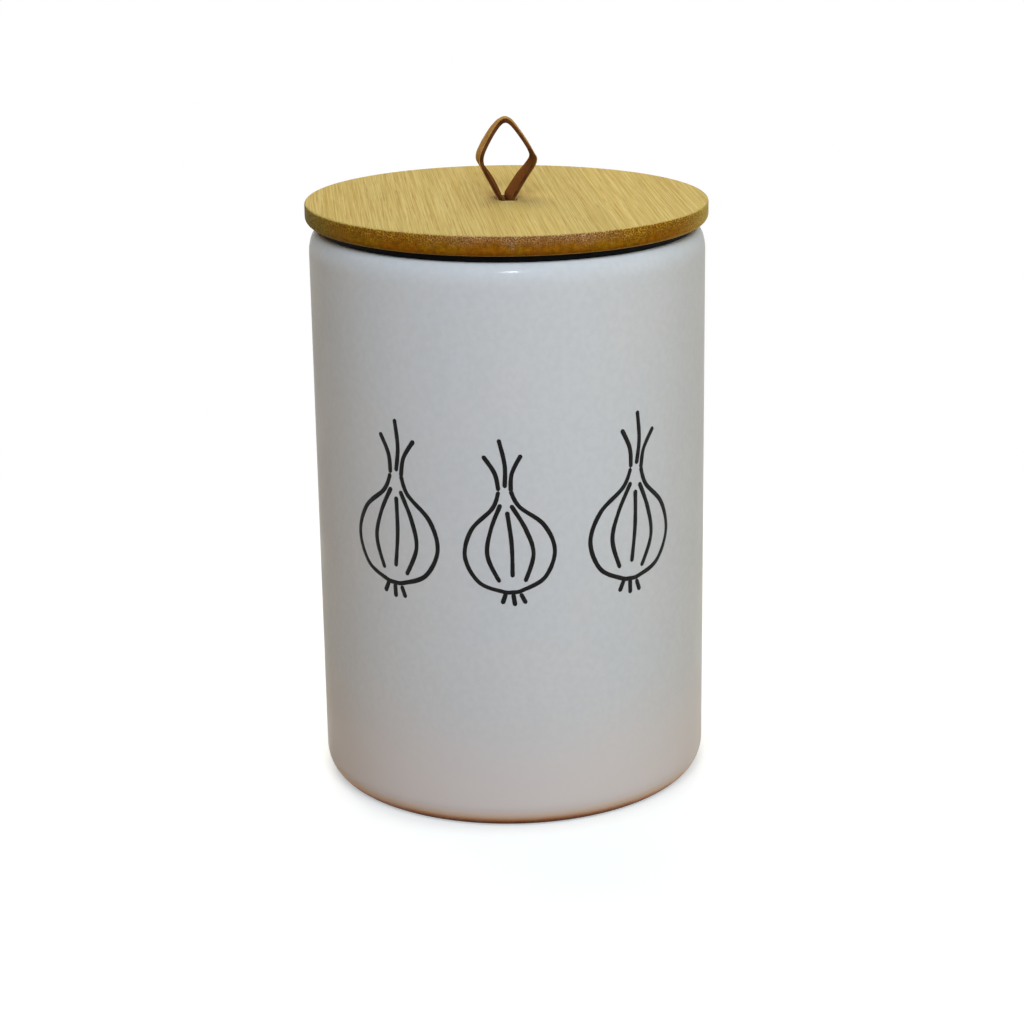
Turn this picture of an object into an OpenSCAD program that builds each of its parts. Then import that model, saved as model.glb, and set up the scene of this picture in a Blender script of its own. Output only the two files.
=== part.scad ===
// Onion keeper: a straight ceramic jar with a sealed bamboo lid and a leather finger loop.
// Millimetres. The origin is the middle of the foot, +Z is up and the front faces -Y.

/* [Jar] */
// Outside diameter of the jar
jar_d = 149; // [120:1:190]
// Height of the jar from its foot to its rim
jar_h = 214.6; // [150:0.2:280]
// Thickness of the wall
jar_wall = 7; // [5:0.1:10]
// Thickness of the floor
jar_floor = 6.5; // [4:0.5:12]
// Width of the rounding of the outside bottom edge
base_round = 8; // [4:0.5:14]
// Height of the rounding of the outside bottom edge
base_round_h = 10; // [4:0.5:20]
// Rounding where the inside wall meets the floor
inside_round = 12; // [4:1:20]
// Height of the rounded shoulder under the rim
shoulder_h = 8.5; // [5:0.5:16]
// Width of the flat top of the rim, where the seal sits
rim_land = 1.9; // [1.2:0.1:3]
// Rounding of the inside edge of the rim
inner_lip_round = 1.2; // [0.6:0.1:2]
// Width of the foot ring that the jar stands on
foot_w = 8; // [5:0.5:14]
// Depth of the recess inside the foot ring
foot_recess = 1.5; // [0.5:0.1:3]

/* [Lid] */
// How far the lid reaches past the outside of the jar
lid_overhang = 1.1; // [0:0.1:5]
// Thickness of the lid board
lid_t = 7.8; // [6.6:0.1:14]
// Rounding of the top edge of the board
lid_top_round = 1; // [0.4:0.1:2]
// Rounding of the bottom edge of the board
lid_bottom_round = 2.6; // [0.4:0.1:4]
// Width of the slot for the strap
slot_w = 6.4; // [6:0.1:10]
// Rounding of the corners of the slot
slot_round = 1.2; // [0.5:0.1:2]
// Room left beside the strap in the slot
slot_gap = 0.4; // [0.3:0.05:0.8]

/* [Plug] */
// Room between the groove of the plug and the inside wall of the jar
plug_room = 4.2; // [3.2:0.1:8]
// Height of the bead that keeps the seal on the plug
bead_h = 2.6; // [1.5:0.1:5]
// How far the bead stands out of the groove
bead_out = 1.4; // [0.5:0.1:2]
// Rounding of the lower edge of the bead
bead_round = 1.2; // [0.4:0.1:1.4]
// Room around the ends of the strap in the window of the plug
window_gap = 2; // [1:0.1:5]
// Rounding of the corners of the window
window_round = 3; // [1:0.1:5]

/* [Seal] */
// Thickness of the flange between the rim and the lid
seal_t = 2.8; // [1.5:0.1:4]
// Rounding of the outside edge of the flange
seal_edge_round = 0.8; // [0.2:0.1:0.9]
// How far the flange stays inside the flat top of the rim
seal_inset = 0.2; // [0:0.05:0.6]
// Thickness of the collar round the plug
collar_t = 1.8; // [1:0.1:2.4]
// Height of the collar, with the flange
collar_h = 10; // [7:0.5:16]
// Number of sealing ribs on the collar
rib_count = 2; // [1:1:3]
// Thickness of a rib at its root
rib_t = 1.4; // [0.8:0.1:2]
// Room between the ribs and the inside wall of the jar
rib_gap = 0.3; // [0.2:0.05:0.6]
// Running clearance between the seal and the plug
turn_gap = 0.1; // [0.05:0.01:0.2]

/* [Strap] */
// Width of the leather strap
strap_w = 12; // [8:0.5:20]
// Thickness of the leather strap
strap_t = 1.7; // [1:0.1:2]
// Distance of the loop's side corners from its middle, on the middle of the leather
corner_out = 10; // [7:0.1:16]
// Height of the side corners above the lid
corner_h = 15.4; // [12:0.1:24]
// Height of the loop's tip above the lid, where its two upper legs would cross
tip_h = 31.7; // [26:0.1:44]
// Bend of the leather at the side corners
corner_bend = 2.2; // [1.2:0.1:4]
// Bend of the leather at the tip
tip_bend = 2.2; // [1.2:0.1:4]
// Height above the lid at which the loop flexes to the sides
pivot_h = 5; // [4:0.1:7]
// Room for the loop where it flexes in the slot
flex_gap = 0.3; // [0.2:0.05:0.5]
// Distance from the middle of the lid to each end of the strap
tail_reach = 19; // [16:0.5:30]

/* [Fixings] */
// Distance of each screw from the middle of the lid
screw_x = 12; // [9:0.5:14]
// Outside diameter of the screw thread
screw_d = 2.9; // [2:0.1:3.5]
// Diameter of the screw between the threads
screw_core_d = 2; // [1.4:0.1:2]
// Pitch of the thread
screw_pitch = 1.1; // [0.6:0.1:1.4]
// Turns of thread in the board
screw_turns = 4; // [2:1:4]
// Length of the screw's point
screw_point = 1; // [0.5:0.1:1.4]
// Diameter of the screw head
head_d = 5.6; // [4.5:0.1:7]
// Height of the screw head
head_h = 2; // [1.4:0.1:3]
// Span of the cross recess in the head
recess_span = 3; // [2:0.1:3.6]
// Width of the cross recess
recess_w = 0.8; // [0.5:0.1:1.2]
// Depth of the cross recess
recess_depth = 1; // [0.5:0.1:1.2]
// Diameter of the washer
washer_d = 8; // [6:0.1:10]
// Thickness of the washer
washer_t = 0.8; // [0.5:0.1:1.5]
// Room round the screw in the washer and the leather
hole_gap = 0.15; // [0.1:0.05:0.4]
// Room round the thread in the board
pilot_gap = 0.05; // [0.02:0.01:0.1]

/* [Hidden] */
$fn = 96;
arc_steps = 10;

jar_r = jar_d / 2;
bore_r = jar_r - jar_wall;
floor_z = foot_recess + jar_floor;
foot_out_r = jar_r - base_round;
foot_in_r = foot_out_r - foot_w;
land_in_r = bore_r + inner_lip_round;
land_out_r = land_in_r + rim_land;

lid_r = jar_r + lid_overhang;
lid_bottom = jar_h + seal_t;
lid_top = lid_bottom + lid_t;
slot_len = strap_w + 2 * slot_gap;

groove_r = bore_r - plug_room;
bead_r = groove_r + bead_out;
plug_h = collar_h + turn_gap + bead_h;
collar_in_r = groove_r + turn_gap;
collar_out_r = collar_in_r + collar_t;
rib_r = bore_r - rib_gap;
rib_step = (collar_h - seal_t) / (rib_count + 1);
flange_r = land_out_r - seal_inset;

leg_x = slot_w / 2 - slot_gap - strap_t / 2;
knuckle_r = norm([slot_w / 2 - flex_gap, pivot_h]);
leg_foot = [leg_x, 0] - 2 * strap_t * unit([corner_out - leg_x, corner_h]);
loop_path = [
    [-leg_foot[0], leg_foot[1]], [-corner_out, corner_h], [0, tip_h],
    [corner_out, corner_h], leg_foot
];
loop_bends = [corner_bend, tip_bend, corner_bend];
tail_path = [[leg_x, lid_t], [leg_x, -strap_t / 2], [tail_reach, -strap_t / 2]];
tail_bends = [slot_w / 2 - leg_x];

thread_z = strap_t + washer_t;
head_z = lid_bottom - thread_z;
thread_h = screw_turns * screw_pitch;
hole_r = screw_d / 2 + hole_gap;
pilot_r = screw_d / 2 + pilot_gap;
pilot_h = thread_h + screw_point + pilot_gap;
overcut = 1;

bamboo = [0.79, 0.68, 0.42];
leather = [0.50, 0.31, 0.18];
steel = [0.72, 0.72, 0.74];

// Points on an arc or a quarter of an ellipse: centre, two half axes, first and last angle
function arc(c, r, from, to) = [
    for (i = [0 : arc_steps])
        let (a = from + (to - from) * i / arc_steps)
        c + [r[0] * cos(a), r[1] * sin(a)]
];

function unit(v) = v / norm(v);
function left_of(v) = [-v[1], v[0]];
function turned(v, a) = [v[0] * cos(a) - v[1] * sin(a), v[0] * sin(a) + v[1] * cos(a)];
function reversed(list) = [for (i = [len(list) - 1 : -1 : 0]) list[i]];

// One bend of a strip at path point i: bend radius r, face at distance s to the left of the path
function bend(path, i, r, s) =
    let (
        a = unit(path[i] - path[i - 1]),
        b = unit(path[i + 1] - path[i]),
        turn = atan2(a[0] * b[1] - a[1] * b[0], a * b),
        hand = sign(turn),
        start = path[i] - a * r * tan(abs(turn) / 2),
        centre = start + hand * r * left_of(a)
    )
    [
        for (k = [0 : arc_steps])
            centre + (r - hand * s) * turned(-hand * left_of(a), turn * k / arc_steps)
    ];

// One face of a strip, at distance s to the left of its path
function face(path, bends, s) =
    let (last = len(path) - 1)
    concat(
        [path[0] + s * left_of(unit(path[1] - path[0]))],
        [for (i = [1 : last - 1]) each bend(path, i, bends[i - 1], s)],
        [path[last] + s * left_of(unit(path[last] - path[last - 1]))]
    );

// Outline of the strap's thickness along a path
function strip(path, bends) = concat(
    face(path, bends, strap_t / 2),
    reversed(face(path, bends, -strap_t / 2))
);

// Rectangle with round corners, made of true arcs
module round_rectangle(w, l, r) {
    square([w - 2 * r, l], center = true);
    square([w, l - 2 * r], center = true);
    for (x = [-1, 1], y = [-1, 1])
        translate([x * (w / 2 - r), y * (l / 2 - r)])
            circle(r = r);
}

// Stands a flat outline up in the plane of the loop and gives it the strap's width
module across_strap() {
    rotate([90, 0, 0])
        linear_extrude(height = strap_w, center = true)
            children();
}

// Puts its child at both screws
module at_screws() {
    for (x = [-screw_x, screw_x])
        translate([x, 0, 0])
            children();
}

module jar() {
    wall = concat(
        [[0, foot_recess], [foot_in_r - foot_recess, foot_recess], [foot_in_r, 0]],
        arc([foot_out_r, base_round_h], [base_round, base_round_h], -90, 0),
        arc([land_out_r, jar_h - shoulder_h], [jar_r - land_out_r, shoulder_h], 0, 90),
        arc([land_in_r, jar_h - inner_lip_round], [inner_lip_round, inner_lip_round], 90, 180),
        arc([bore_r - inside_round, floor_z + inside_round], [inside_round, inside_round], 0, -90),
        [[0, floor_z]]
    );
    color([0.80, 0.80, 0.81])
        rotate_extrude()
            polygon(wall);
}

module lid_disc() {
    board = concat(
        [[0, 0]],
        arc([lid_r - lid_bottom_round, lid_bottom_round], [lid_bottom_round, lid_bottom_round], -90, 0),
        arc([lid_r - lid_top_round, lid_t - lid_top_round], [lid_top_round, lid_top_round], 0, 90),
        [[0, lid_t]]
    );
    color(bamboo)
        translate([0, 0, lid_bottom])
            difference() {
                rotate_extrude()
                    polygon(board);
                translate([0, 0, -overcut])
                    linear_extrude(height = lid_t + 2 * overcut)
                        round_rectangle(slot_w, slot_len, slot_round);
                at_screws()
                    translate([0, 0, -overcut])
                        cylinder(h = pilot_h + overcut, r = pilot_r);
            }
}

module lid_plug() {
    body = concat(
        [[0, -plug_h]],
        arc([bead_r - bead_round, bead_round - plug_h], [bead_round, bead_round], -90, 0),
        [[bead_r, bead_h - plug_h], [groove_r, bead_h - plug_h], [groove_r, 0], [0, 0]]
    );
    color(bamboo)
        translate([0, 0, lid_bottom])
            difference() {
                rotate_extrude()
                    polygon(body);
                translate([0, 0, -plug_h - overcut])
                    linear_extrude(height = plug_h + 2 * overcut)
                        round_rectangle(2 * (tail_reach + window_gap), strap_w + 2 * window_gap, window_round);
            }
}

module seal_ring() {
    edge = [seal_edge_round, seal_edge_round];
    ribs = [
        for (i = [rib_count : -1 : 1])
            each [
                [collar_out_r, -rib_step * i - rib_t / 2],
                [rib_r, -rib_step * i - rib_t / 4],
                [rib_r, -rib_step * i + rib_t / 4],
                [collar_out_r, -rib_step * i + rib_t / 2]
            ]
    ];
    section = concat(
        [[collar_in_r, seal_t], [collar_in_r, seal_t - collar_h], [collar_out_r, seal_t - collar_h]],
        ribs,
        [[collar_out_r, 0]],
        arc([flange_r - seal_edge_round, seal_edge_round], edge, -90, 0),
        arc([flange_r - seal_edge_round, seal_t - seal_edge_round], edge, 0, 90)
    );
    color([0.05, 0.05, 0.06])
        translate([0, 0, jar_h])
            rotate_extrude()
                polygon(section);
}

module handle_loop() {
    color(leather)
        translate([0, 0, lid_top])
            across_strap()
                intersection() {
                    polygon(strip(loop_path, loop_bends));
                    union() {
                        translate([-2 * corner_out, pivot_h])
                            square([4 * corner_out, tip_h]);
                        translate([0, pivot_h])
                            circle(r = knuckle_r);
                    }
                }
}

module strap_tail() {
    difference() {
        across_strap()
            difference() {
                polygon(strip(tail_path, tail_bends));
                translate([0, lid_t + pivot_h])
                    circle(r = knuckle_r + flex_gap);
            }
        translate([screw_x, 0, -strap_t - overcut])
            cylinder(h = strap_t + 2 * overcut, r = hole_r);
    }
}

module strap_tails() {
    color(leather)
        translate([0, 0, lid_bottom])
            for (side = [0, 1])
                mirror([side, 0, 0])
                    strap_tail();
}

module strap_washers() {
    color(steel)
        translate([0, 0, head_z])
            at_screws()
                difference() {
                    cylinder(h = washer_t, d = washer_d);
                    translate([0, 0, -overcut])
                        cylinder(h = washer_t + 2 * overcut, r = hole_r);
                }
}

module strap_screws() {
    core_r = screw_core_d / 2;
    threads = [
        for (i = [0 : screw_turns - 1])
            each [
                [core_r, thread_z + screw_pitch * i],
                [screw_d / 2, thread_z + screw_pitch * (i + 1 / 2)]
            ]
    ];
    section = concat(
        arc([0, 0], [head_d / 2, head_h], -90, 0),
        [[core_r, 0]],
        threads,
        [[core_r, thread_z + thread_h], [0, thread_z + thread_h + screw_point]]
    );
    color(steel)
        translate([0, 0, head_z])
            at_screws()
                difference() {
                    rotate_extrude()
                        polygon(section);
                    for (turn = [0, 90])
                        rotate([0, 0, turn])
                            translate([0, 0, -head_h])
                                cube([recess_span, recess_w, 2 * recess_depth], center = true);
                }
}

jar();
lid_disc();
lid_plug();
seal_ring();
handle_loop();
strap_tails();
strap_washers();
strap_screws();
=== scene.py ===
"""Onion keeper: a white glazed jar with a bamboo lid, a black seal and a leather finger loop.

Metres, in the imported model's own frame: +Z is up, the front faces -Y and the loop lies in the XZ plane.
"""
import math

import bmesh
import bpy
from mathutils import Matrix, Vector


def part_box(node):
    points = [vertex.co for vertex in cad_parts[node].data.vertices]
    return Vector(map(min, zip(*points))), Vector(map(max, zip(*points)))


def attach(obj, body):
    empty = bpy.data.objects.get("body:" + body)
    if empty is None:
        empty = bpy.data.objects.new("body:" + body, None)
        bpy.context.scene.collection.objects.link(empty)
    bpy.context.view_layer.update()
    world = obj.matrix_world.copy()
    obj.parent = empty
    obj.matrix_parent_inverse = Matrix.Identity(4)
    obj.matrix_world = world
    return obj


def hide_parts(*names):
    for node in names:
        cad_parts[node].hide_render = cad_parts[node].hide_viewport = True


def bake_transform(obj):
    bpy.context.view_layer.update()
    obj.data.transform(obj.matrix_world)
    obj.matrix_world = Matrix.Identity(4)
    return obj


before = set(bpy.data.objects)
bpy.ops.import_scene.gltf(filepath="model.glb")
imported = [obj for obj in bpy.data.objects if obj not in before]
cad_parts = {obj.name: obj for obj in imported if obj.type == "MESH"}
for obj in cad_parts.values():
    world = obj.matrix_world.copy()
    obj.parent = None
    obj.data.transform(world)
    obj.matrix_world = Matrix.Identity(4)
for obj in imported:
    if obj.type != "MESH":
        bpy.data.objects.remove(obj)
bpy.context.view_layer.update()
mm = 0.001

# How far a cutting shape reaches past a surface, and how near points have to be to be welded
cut_over = 2 * mm
weld = 0.001 * mm

# Places and sizes that the frame gives
jar_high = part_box("jar")[1]
board_low, board_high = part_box("lid_disc")
plug_low, plug_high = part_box("lid_plug")
seal_low, seal_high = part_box("seal_ring")
loop_low, loop_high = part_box("handle_loop")
tails_low, tails_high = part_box("strap_tails")
screws_low, screws_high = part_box("strap_screws")
washers_low, washers_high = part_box("strap_washers")
jar_r = max(jar_high.x, jar_high.y)
board_r = max(board_high.x, board_high.y)
bead_r = max(plug_high.x, plug_high.y)
flange_r = max(seal_high.x, seal_high.y)
rim_z = jar_high.z
board_z = board_low.z
lid_top = board_high.z
strap_w = loop_high.y - loop_low.y
screw_head_r = screws_high.y
screw_x = screws_high.x - screw_head_r
washer_r = washers_high.y

# Jar
jar_wall = 7 * mm
jar_floor = 6.5 * mm
base_round = 8 * mm
base_round_h = 10 * mm
inside_round = 12 * mm
shoulder_h = 8.5 * mm
rim_land = 1.9 * mm
lip_round = 1.2 * mm
foot_w = 8 * mm
foot_recess = 1.5 * mm
foot_edge_round = 0.5 * mm
bore_r = jar_r - jar_wall
floor_z = foot_recess + jar_floor

# Lid
board_top_round = 1.0 * mm
board_low_round = 2.6 * mm
slot_w = 6.4 * mm
slot_room = 0.4 * mm
slot_round = 1.2 * mm
slot_ease = 0.45 * mm
bead_h = 2.6 * mm
bead_out = 1.4 * mm
bead_round = 1.2 * mm
window_room = 2 * mm
window_round = 3 * mm
window_ease = 0.6 * mm

# Seal
seal_edge_round = 0.8 * mm
seal_crease = math.radians(40)
collar_t = 1.8 * mm
turn_room = 0.1 * mm
rib_count = 2
rib_t = 1.4 * mm
rib_room = 0.3 * mm
collar_in_r = bead_r - bead_out + turn_room

# Strap
strap_t = 1.7 * mm
strap_edge_round = 0.4 * mm
strap_step = 0.6 * mm
strap_crown = 0.08 * mm
strap_crease = math.radians(60)
cut_edge = 0.1 * mm
sharpest_bend = math.radians(14)
loop_lean = math.radians(2.9)
face_tilt = math.radians(5)
face_tilt_h = 20 * mm
fold_bulge = 0.25

# Fixings of the strap's ends
screw_core_r = 1.0 * mm
thread_depth = 0.45 * mm
thread_pitch = 1.1 * mm
thread_rows = 44
screw_point = 1.0 * mm
recess_span = 3.0 * mm
recess_w = 0.8 * mm
recess_depth = 1.0 * mm
recess_round = 0.2 * mm
recess_narrowing = 0.75
washer_hole_r = 1.6 * mm
washer_ease = 0.15 * mm
steel_crease = math.radians(35)

# Painted row of onions on the front
painted_count = 3
painted_pitch = 46 * mm
painted_line = 1.75 * mm
painted_step = 0.4 * mm
painted_tilt = 0.09
pen_sides = 10
painted_lift = 0.12 * mm
painted_foot_z = 94 * mm
painted_turn = math.radians(-5)

# The photograph's camera
photo_px = 1024
focal_px = 2511.9
optical_axis_px = 636.7
sensor_w = 36
camera_reach = 936.8 * mm
camera_h = 390.6 * mm
camera_pitch = math.radians(17.162)
camera_yaw = math.radians(2.976)
camera_round = math.radians(5)


# Helpers for node trees


def add(tree, kind, values=None, **settings):
    """One node, with its properties and with the values or links of its inputs."""
    made = tree.nodes.new(kind)
    for key, value in settings.items():
        setattr(made, key, value)
    for key, value in (values or {}).items():
        if isinstance(value, bpy.types.NodeSocket):
            tree.links.new(value, made.inputs[key])
        else:
            made.inputs[key].default_value = value
    return made


def maths(tree, operation, *terms):
    """The result of one math node."""
    return add(tree, "ShaderNodeMath", dict(enumerate(terms)), operation=operation).outputs[0]


def fade(tree, value, low, high, at_low=0.0, at_high=1.0):
    """A smooth step from at_low to at_high while value goes from low to high."""
    inputs = {0: value, 1: low, 2: high, 3: at_low, 4: at_high}
    return add(tree, "ShaderNodeMapRange", inputs, interpolation_type="SMOOTHSTEP").outputs[0]


def mixed(tree, share, first, second, blend="MIX"):
    """Two colours mixed by share."""
    values = {0: share, 6: first, 7: second}
    return add(tree, "ShaderNodeMix", values, data_type="RGBA", blend_type=blend).outputs[2]


def stretched(tree, point, x, y, z):
    """The point with each coordinate multiplied, for patterns that run along one axis."""
    scaled = add(tree, "ShaderNodeVectorMath", {0: point, 1: (x, y, z)}, operation="MULTIPLY")
    return scaled.outputs[0]


def noise(tree, point, scale, detail=2.0, roughness=0.5):
    """Smooth noise between about 0 and 1."""
    values = {"Vector": point, "Scale": scale, "Detail": detail, "Roughness": roughness}
    return add(tree, "ShaderNodeTexNoise", values).outputs["Fac"]


def ramped(tree, value, stops):
    """A colour that changes along stops: (value, colour), from low to high."""
    low, high = stops[0][0], stops[-1][0]
    share = add(tree, "ShaderNodeMapRange", {0: value, 1: low, 2: high}).outputs[0]
    ramp = add(tree, "ShaderNodeValToRGB", {0: share})
    marks = ramp.color_ramp.elements
    while len(marks) < len(stops):
        marks.new(0.5)
    for mark, (place, shade) in zip(marks, stops):
        mark.position = (place - low) / (high - low)
        mark.color = shade
    return ramp.outputs["Color"]


def bumped(tree, height, strength, distance):
    """A normal raised by a height pattern."""
    values = {"Strength": strength, "Distance": distance, "Height": height}
    return add(tree, "ShaderNodeBump", values).outputs[0]


def chance(tree, low, high, seed):
    """A random value for each point, between low and high."""
    values = {2: low, 3: high, "Seed": seed}
    return add(tree, "FunctionNodeRandomValue", values, data_type="FLOAT").outputs[1]


def new_finish(name):
    """A material with its tree, its shader and the object coordinates."""
    finish = bpy.data.materials.new(name)
    finish.use_nodes = True
    tree = finish.node_tree
    shader = tree.nodes["Principled BSDF"]
    place = add(tree, "ShaderNodeTexCoord")
    return finish, tree, shader, place


def dress(tree, shader, base, rough, normal=None):
    """Joins a finish's colour, its roughness and its relief, if it has one, to its shader."""
    tree.links.new(base, shader.inputs["Base Color"])
    tree.links.new(rough, shader.inputs["Roughness"])
    if normal is not None:
        tree.links.new(normal, shader.inputs["Normal"])


def colour(red, green, blue):
    """An opaque colour for a shader's input."""
    return (red, green, blue, 1.0)


# Finishes


def satin_glaze():
    """White satin glaze with faint warm clouds, warmer lower down with painted bounce light, thin at the
    foot, where the dark body is bare, darkened further by a painted contact shadow.
    """
    finish, tree, shader, place = new_finish("satin_glaze")
    point = place.outputs["Object"]
    height = add(tree, "ShaderNodeSeparateXYZ", {0: point}).outputs["Z"]
    clouds = fade(tree, noise(tree, point, 26.0, 3.0), 0.35, 0.65)
    glaze = mixed(tree, clouds, colour(0.580, 0.618, 0.668), colour(0.592, 0.620, 0.662))
    grains = fade(tree, noise(tree, point, 420.0, 2.0), 0.3, 0.7, 0.98, 1.02)
    glaze = mixed(tree, 1.0, glaze, grains, "MULTIPLY")
    # Painted warm bounce light: the glaze turns warmer and a little paler towards the bottom
    glaze = mixed(tree, fade(tree, height, 60 * mm, 8 * mm), glaze, colour(0.652, 0.618, 0.630))
    # The foot: a bare unglazed body under a thin glaze, and a painted contact shadow near black at the
    # lowest stop, with painted warm bounce light above it
    ragged = maths(tree, "MULTIPLY_ADD", noise(tree, point, 180.0, 3.0), 0.8 * mm, height)
    foot = ramped(tree, ragged, [
        (1.3 * mm, colour(0.055, 0.014, 0.004)),
        (2.4 * mm, colour(0.185, 0.058, 0.013)),
        (3.0 * mm, colour(0.325, 0.112, 0.018)),
        (3.7 * mm, colour(0.545, 0.268, 0.115)),
        (4.4 * mm, colour(0.680, 0.450, 0.325)),
        (5.2 * mm, colour(0.725, 0.605, 0.520)),
        (8.4 * mm, colour(0.710, 0.665, 0.675)),
    ])
    bare = fade(tree, ragged, 3.2 * mm, 2.2 * mm)
    grit = fade(tree, noise(tree, point, 900.0, 4.0), 0.3, 0.7, 0.6, 1.4)
    # The bare unglazed foot with grit, carrying the painted contact shadow and bounce light of the ramp
    clay_and_contact_shade = mixed(tree, bare, foot, mixed(tree, 1.0, foot, grit, "MULTIPLY"))
    glaze = mixed(tree, fade(tree, ragged, 9.0 * mm, 7.0 * mm), glaze, clay_and_contact_shade)
    worn = fade(tree, noise(tree, point, 60.0, 4.0), 0.3, 0.7, 0.40, 0.50)
    rough = maths(tree, "MAXIMUM", worn, maths(tree, "MULTIPLY", bare, 0.85))
    skin = noise(tree, point, 700.0, 3.0)
    dress(tree, shader, glaze, rough, bumped(tree, skin, 0.08, 0.05 * mm))
    shader.inputs["Specular IOR Level"].default_value = 0.05
    shader.inputs["Coat Weight"].default_value = 0.08
    shader.inputs["Coat Roughness"].default_value = 0.10
    return finish


def black_paint():
    """Fired black line paint, a little uneven where the brush ran dry."""
    finish, tree, shader, place = new_finish("black_paint")
    point = place.outputs["Object"]
    dry = fade(tree, noise(tree, point, 500.0, 3.0), 0.45, 0.75)
    black = mixed(tree, dry, colour(0.004, 0.004, 0.004), colour(0.012, 0.011, 0.011))
    rough = fade(tree, noise(tree, point, 260.0), 0.3, 0.7, 0.42, 0.55)
    dress(tree, shader, black, rough)
    shader.inputs["Specular IOR Level"].default_value = 0.12
    return finish


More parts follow.
